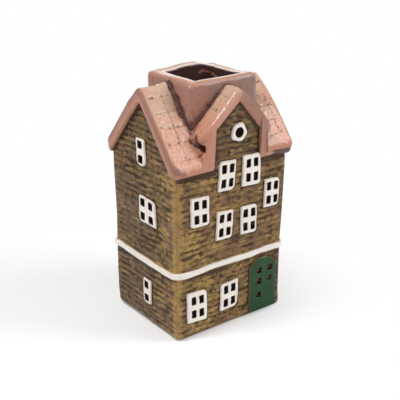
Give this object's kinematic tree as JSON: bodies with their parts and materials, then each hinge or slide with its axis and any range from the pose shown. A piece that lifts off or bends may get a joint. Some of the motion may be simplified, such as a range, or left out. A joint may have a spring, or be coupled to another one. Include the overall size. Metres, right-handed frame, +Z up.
{
  "type": "house candle holder",
  "caption": "Glazed pottery tealight house with brick walls, a cross-gabled roof, an open square collar on top, pierced windows and an arched doorway at the back.",
  "frame": {"origin": "middle of the underside, on the plane that the house stands on", "axes": "+Z up, -Y out of the front wall with the door, +X towards the right gable seen from the front"},
  "size_m": [0.098, 0.081, 0.173],
  "materials": {
    "brick_glaze": "gloss",
    "roof_glaze": "gloss",
    "collar_glaze": "gloss",
    "white_glaze": "gloss",
    "door_glaze": "gloss"
  },
  "bodies": {
    "root": {"floor_slab": "brick_glaze", "front_wall": "brick_glaze", "back_wall": "brick_glaze", "left_wall": "brick_glaze", "right_wall": "brick_glaze", "roof_front_left": "roof_glaze", "roof_front_right": "roof_glaze", "roof_back": "roof_glaze", "dormer_roof_left": "roof_glaze", "dormer_roof_right": "roof_glaze", "chimney_collar": "collar_glaze", "string_course_front": "white_glaze", "string_course_back": "white_glaze", "string_course_left": "white_glaze", "string_course_right": "white_glaze", "front_window_upper_1": "white_glaze", "front_window_upper_2": "white_glaze", "front_window_upper_3": "white_glaze", "front_window_upper_4": "white_glaze", "front_window_attic_1": "white_glaze", "front_window_attic_2": "white_glaze", "front_window_ground_1": "white_glaze", "front_window_ground_2": "white_glaze", "left_window_attic": "white_glaze", "left_window_upper": "white_glaze", "left_window_ground": "white_glaze", "right_window_attic": "white_glaze", "right_window_upper": "white_glaze", "right_window_ground": "white_glaze", "round_window": "white_glaze", "front_door": "door_glaze"}
  },
  "joints": []
}
